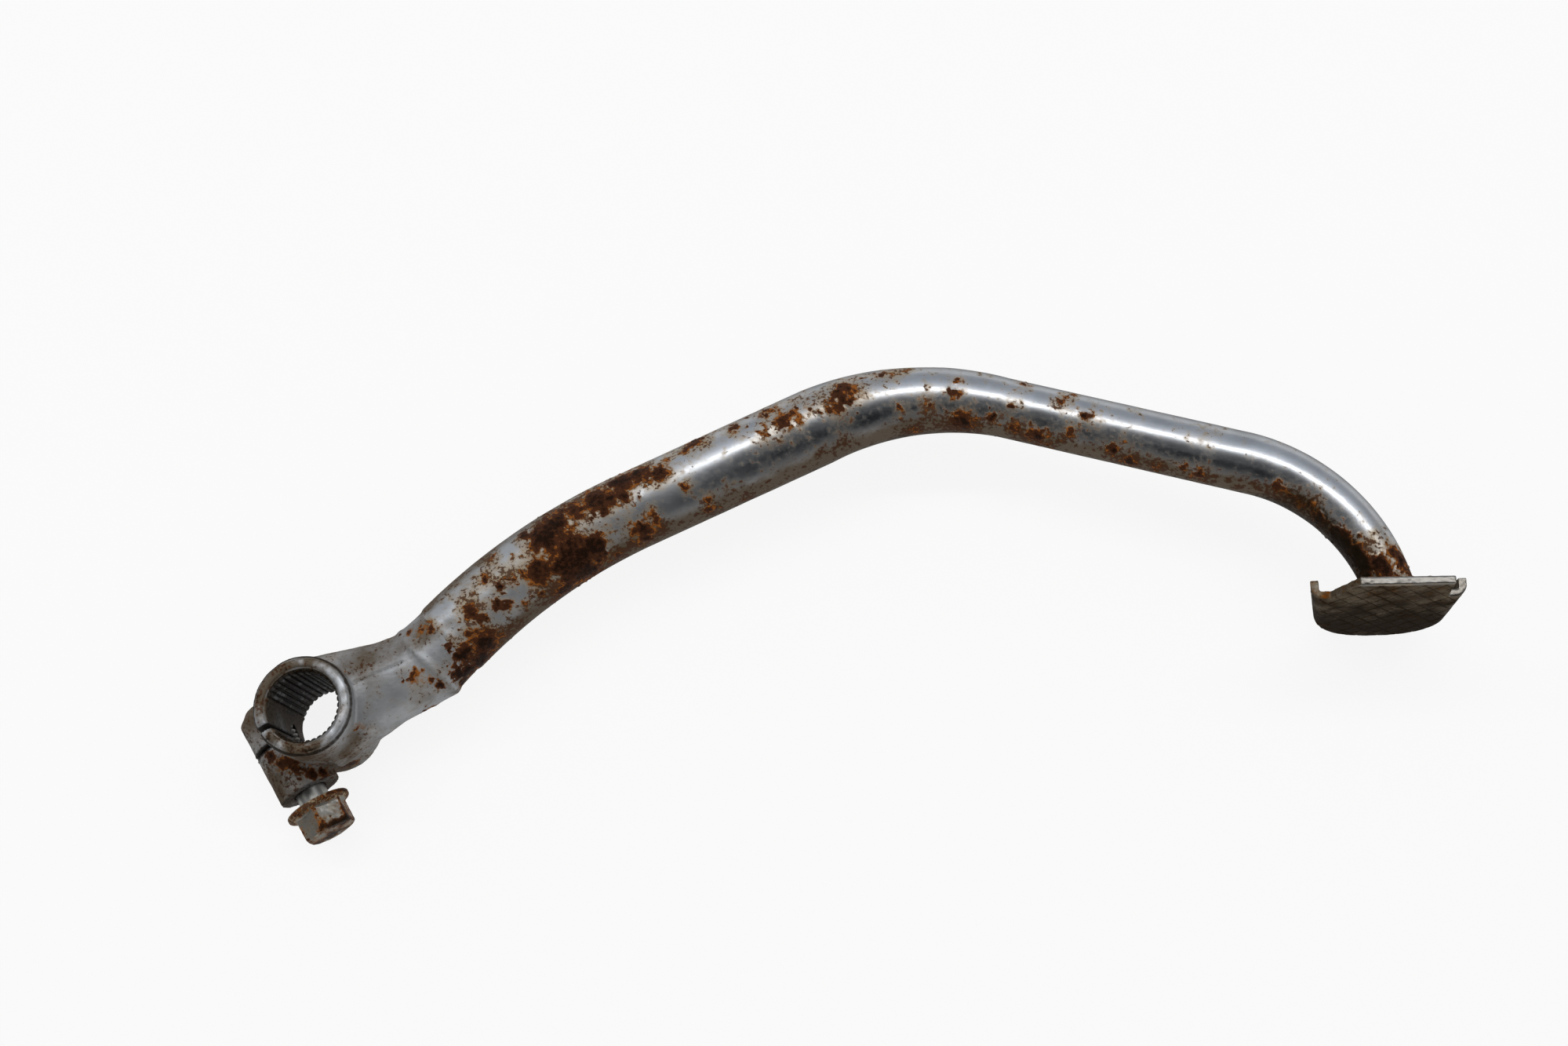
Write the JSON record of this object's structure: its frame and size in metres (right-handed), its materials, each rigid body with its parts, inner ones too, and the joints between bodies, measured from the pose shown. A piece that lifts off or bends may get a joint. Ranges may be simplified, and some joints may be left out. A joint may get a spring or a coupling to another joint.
{
  "type": "rear brake pedal",
  "caption": "Bent tubular foot lever with a serrated split clamp hub at one end and a pressed, rimmed tread for the foot at the other.",
  "frame": {"origin": "middle of the serrated shaft bore, on its axis", "axes": "+Z along the bore towards the outer face of the hub, +X from the hub towards the tread, +Y completes the set; the tread faces -Y"},
  "size_m": [0.2979, 0.1146, 0.0497],
  "materials": {
    "forging": "worn plating on forged steel",
    "plated_tube": "bright plating with rust scabs",
    "tread": "dirty, rusted sheet steel",
    "bolt": "zinc plated, rusted at the edges",
    "weld": "weld metal under thin plating"
  },
  "bodies": {
    "pedal": {"splined_hub": "forging", "arm_tube": "plated_tube", "tread_pad": "tread", "weld_beads": "weld"},
    "bolt": {"pinch_bolt": "bolt"}
  },
  "joints": [
    {"name": "bolt_screws", "type": "slide", "parent": "pedal", "child": "bolt", "axis": [0.515, -0.8572, 0], "range_m": [-0.0037, 0.007]}
  ]
}
